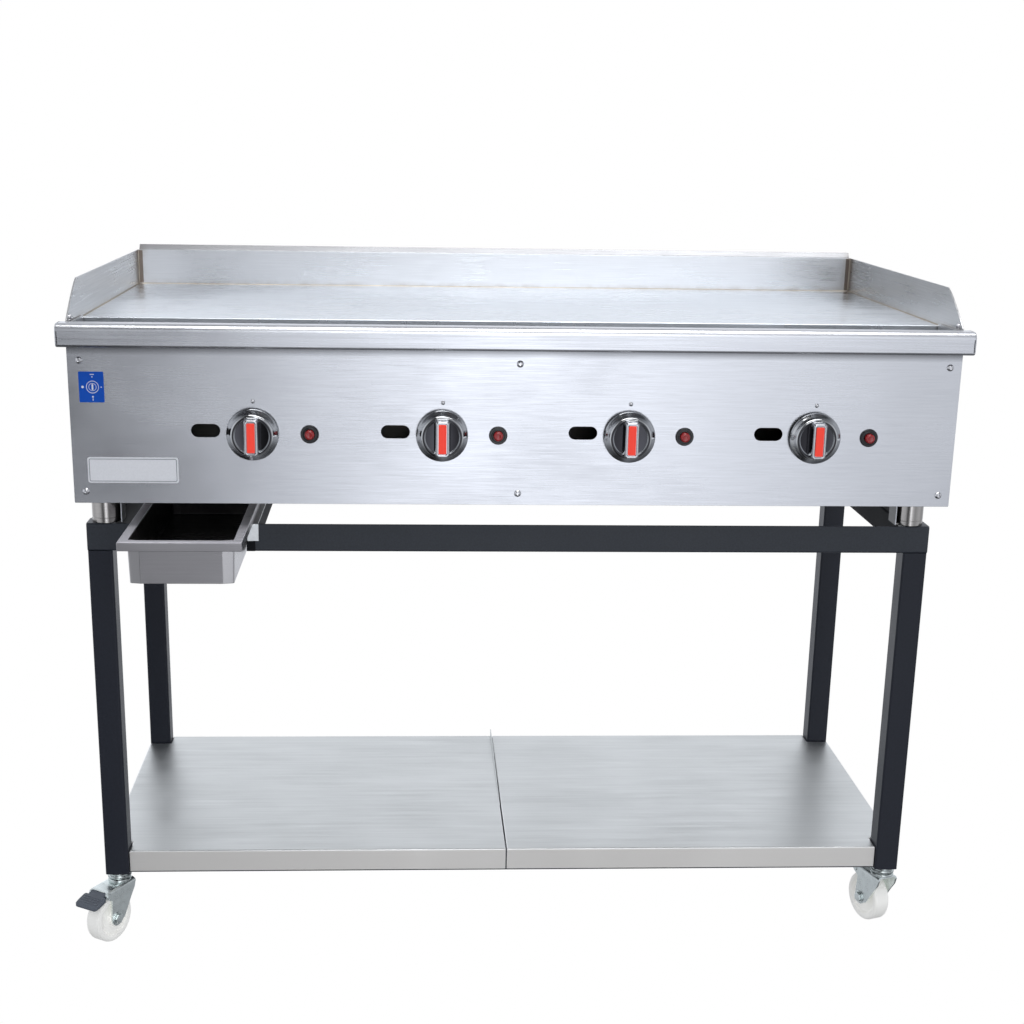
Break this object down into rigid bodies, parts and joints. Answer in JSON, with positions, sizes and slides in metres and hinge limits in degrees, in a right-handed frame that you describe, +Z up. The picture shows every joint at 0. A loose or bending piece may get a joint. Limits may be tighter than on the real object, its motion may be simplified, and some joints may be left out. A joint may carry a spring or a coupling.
{
  "type": "flat top griddle",
  "caption": "Wide steel flat top gas griddle with splashes, rail, knobs and piezo buttons, on a painted stand with shelf, grease drawer and casters.",
  "frame": {"origin": "on the floor, at the centre of the footprint over everything, with the drawer partly pulled out and the gas inlet at the back", "axes": "+X right as seen from the front, +Y towards the back, +Z up; the control panel faces -Y"},
  "size_m": [1.282, 0.715, 0.993],
  "materials": {
    "plate_steel": "bright ground steel, lightly brushed from side to side",
    "splash_steel": "brushed stainless sheet with brown heat tint along its welds",
    "body_steel": "brushed stainless sheet, grain from side to side",
    "inner_steel": "plain mill-finish steel",
    "bearer_steel": "black primer on steel angle",
    "brass": "plain machined brass and yellow-passivated pipe",
    "lead_rubber": "black silicone sleeve",
    "black_plastic": "glossy black plastic",
    "screw_steel": "stainless button heads and pins",
    "plate_label": "pale satin label plate without lettering",
    "blue_label": "blue printed label with a plain white dial sign",
    "knob_chrome": "bright chrome plate",
    "knob_red": "orange-red plastic inlay",
    "button_red": "red plastic push button",
    "foot_steel": "turned steel foot, satin",
    "drawer_steel": "folded stainless pan, fine brushed",
    "runner_steel": "pale bare sheet",
    "stand_paint": "anthracite powder coat, satin",
    "shelf_steel": "pale bare sheet, satin",
    "caster_zinc": "bluish bright zinc plate",
    "wheel_nylon": "off-white nylon",
    "pedal_plastic": "slate-grey plastic"
  },
  "bodies": {
    "griddle": {"cooking_plate": "plate_steel", "backsplash": "splash_steel", "side_splashes": "splash_steel", "front_rail": "splash_steel", "grease_gutter": "splash_steel", "grease_chute": "splash_steel", "front_panel": "body_steel", "side_panels": "body_steel", "rear_panel": "body_steel", "foot_brackets": "body_steel", "bottom_tray": "inner_steel", "burner_rests": "inner_steel", "burners": "inner_steel", "electrodes": "inner_steel", "plate_bearers": "bearer_steel", "gas_manifold": "brass", "gas_inlet_pipe": "brass", "gas_valves": "brass", "injectors": "brass", "ignition_leads": "lead_rubber", "igniter_bezels": "black_plastic", "panel_fixings": "screw_steel", "nameplate": "plate_label", "dial_label": "blue_label", "feet": "foot_steel", "drawer_runners": "runner_steel", "legs": "stand_paint", "top_cross_rails": "stand_paint", "top_side_rails": "stand_paint", "lower_rails": "stand_paint", "shelf_left": "shelf_steel", "shelf_right": "shelf_steel", "caster_stems": "caster_zinc"},
    "stem_1": {"valve_stem_1": "inner_steel"},
    "knob_1": {"knob_1": "knob_chrome", "knob_insert_1": "knob_red"},
    "igniter_button_1": {"igniter_button_1": "button_red"},
    "stem_2": {"valve_stem_2": "inner_steel"},
    "knob_2": {"knob_2": "knob_chrome", "knob_insert_2": "knob_red"},
    "igniter_button_2": {"igniter_button_2": "button_red"},
    "stem_3": {"valve_stem_3": "inner_steel"},
    "knob_3": {"knob_3": "knob_chrome", "knob_insert_3": "knob_red"},
    "igniter_button_3": {"igniter_button_3": "button_red"},
    "stem_4": {"valve_stem_4": "inner_steel"},
    "knob_4": {"knob_4": "knob_chrome", "knob_insert_4": "knob_red"},
    "igniter_button_4": {"igniter_button_4": "button_red"},
    "drawer": {"grease_drawer": "drawer_steel"},
    "fork_fl": {"fork_fl": "caster_zinc"},
    "wheel_fl": {"wheel_fl": "wheel_nylon"},
    "fork_fr": {"fork_fr": "caster_zinc"},
    "wheel_fr": {"wheel_fr": "wheel_nylon"},
    "fork_rl": {"fork_rl": "caster_zinc"},
    "wheel_rl": {"wheel_rl": "wheel_nylon"},
    "fork_rr": {"fork_rr": "caster_zinc"},
    "wheel_rr": {"wheel_rr": "wheel_nylon"},
    "pedal_fl": {"pedal_fl": "pedal_plastic"},
    "pedal_fr": {"pedal_fr": "pedal_plastic"}
  },
  "joints": [
    {"name": "knob_push_1", "type": "slide", "parent": "griddle", "child": "stem_1", "axis": [0, 1, 0], "range_m": [0, 0.004], "stiffness_N_per_m": 400},
    {"name": "knob_turn_1", "type": "hinge", "parent": "stem_1", "child": "knob_1", "pos_m": [-0.358, -0.2925, 0.787], "axis": [0, -1, 0], "range_deg": [0, 180]},
    {"name": "igniter_press_1", "type": "slide", "parent": "griddle", "child": "igniter_button_1", "axis": [0, 1, 0], "range_m": [0, 0.005], "stiffness_N_per_m": 600},
    {"name": "knob_push_2", "type": "slide", "parent": "griddle", "child": "stem_2", "axis": [0, 1, 0], "range_m": [0, 0.004], "stiffness_N_per_m": 400},
    {"name": "knob_turn_2", "type": "hinge", "parent": "stem_2", "child": "knob_2", "pos_m": [-0.104, -0.2925, 0.787], "axis": [0, -1, 0], "range_deg": [0, 180]},
    {"name": "igniter_press_2", "type": "slide", "parent": "griddle", "child": "igniter_button_2", "axis": [0, 1, 0], "range_m": [0, 0.005], "stiffness_N_per_m": 600},
    {"name": "knob_push_3", "type": "slide", "parent": "griddle", "child": "stem_3", "axis": [0, 1, 0], "range_m": [0, 0.004], "stiffness_N_per_m": 400},
    {"name": "knob_turn_3", "type": "hinge", "parent": "stem_3", "child": "knob_3", "pos_m": [0.15, -0.2925, 0.787], "axis": [0, -1, 0], "range_deg": [0, 180]},
    {"name": "igniter_press_3", "type": "slide", "parent": "griddle", "child": "igniter_button_3", "axis": [0, 1, 0], "range_m": [0, 0.005], "stiffness_N_per_m": 600},
    {"name": "knob_push_4", "type": "slide", "parent": "griddle", "child": "stem_4", "axis": [0, 1, 0], "range_m": [0, 0.004], "stiffness_N_per_m": 400},
    {"name": "knob_turn_4", "type": "hinge", "parent": "stem_4", "child": "knob_4", "pos_m": [0.404, -0.2925, 0.787], "axis": [0, -1, 0], "range_deg": [0, 180]},
    {"name": "igniter_press_4", "type": "slide", "parent": "griddle", "child": "igniter_button_4", "axis": [0, 1, 0], "range_m": [0, 0.005], "stiffness_N_per_m": 600},
    {"name": "drawer_slide", "type": "slide", "parent": "griddle", "child": "drawer", "axis": [0, -1, 0], "range_m": [-0.07, 0.2]},
    {"name": "swivel_fl", "type": "hinge", "parent": "griddle", "child": "fork_fl", "pos_m": [-0.5845, -0.1795, 0.088], "axis": [0, 0, 1], "continuous": true},
    {"name": "wheel_roll_fl", "type": "hinge", "parent": "fork_fl", "child": "wheel_fl", "pos_m": [-0.59892, -0.2035, 0.0375], "axis": [0.8572, -0.515, 0], "continuous": true},
    {"name": "pedal_press_fl", "type": "hinge", "parent": "fork_fl", "child": "pedal_fl", "pos_m": [-0.60716, -0.21722, 0.08], "axis": [0.8572, -0.515, 0], "range_deg": [0, 14]},
    {"name": "swivel_fr", "type": "hinge", "parent": "griddle", "child": "fork_fr", "pos_m": [0.5845, -0.1795, 0.088], "axis": [0, 0, 1], "continuous": true},
    {"name": "wheel_roll_fr", "type": "hinge", "parent": "fork_fr", "child": "wheel_fr", "pos_m": [0.57492, -0.15319, 0.0375], "axis": [-0.9397, -0.342, 0], "continuous": true},
    {"name": "pedal_press_fr", "type": "hinge", "parent": "fork_fr", "child": "pedal_fr", "pos_m": [0.56945, -0.13815, 0.08], "axis": [-0.9397, -0.342, 0], "range_deg": [0, 14]},
    {"name": "swivel_rl", "type": "hinge", "parent": "griddle", "child": "fork_rl", "pos_m": [-0.5845, 0.2665, 0.088], "axis": [0, 0, 1], "continuous": true},
    {"name": "wheel_roll_rl", "type": "hinge", "parent": "fork_rl", "child": "wheel_rl", "pos_m": [-0.57725, 0.29355, 0.0375], "axis": [-0.9659, 0.2588, 0], "continuous": true},
    {"name": "swivel_rr", "type": "hinge", "parent": "griddle", "child": "fork_rr", "pos_m": [0.5845, 0.2665, 0.088], "axis": [0, 0, 1], "continuous": true},
    {"name": "wheel_roll_rr", "type": "hinge", "parent": "fork_rr", "child": "wheel_rr", "pos_m": [0.60498, 0.2856, 0.0375], "axis": [-0.682, 0.7314, 0], "continuous": true}
  ]
}
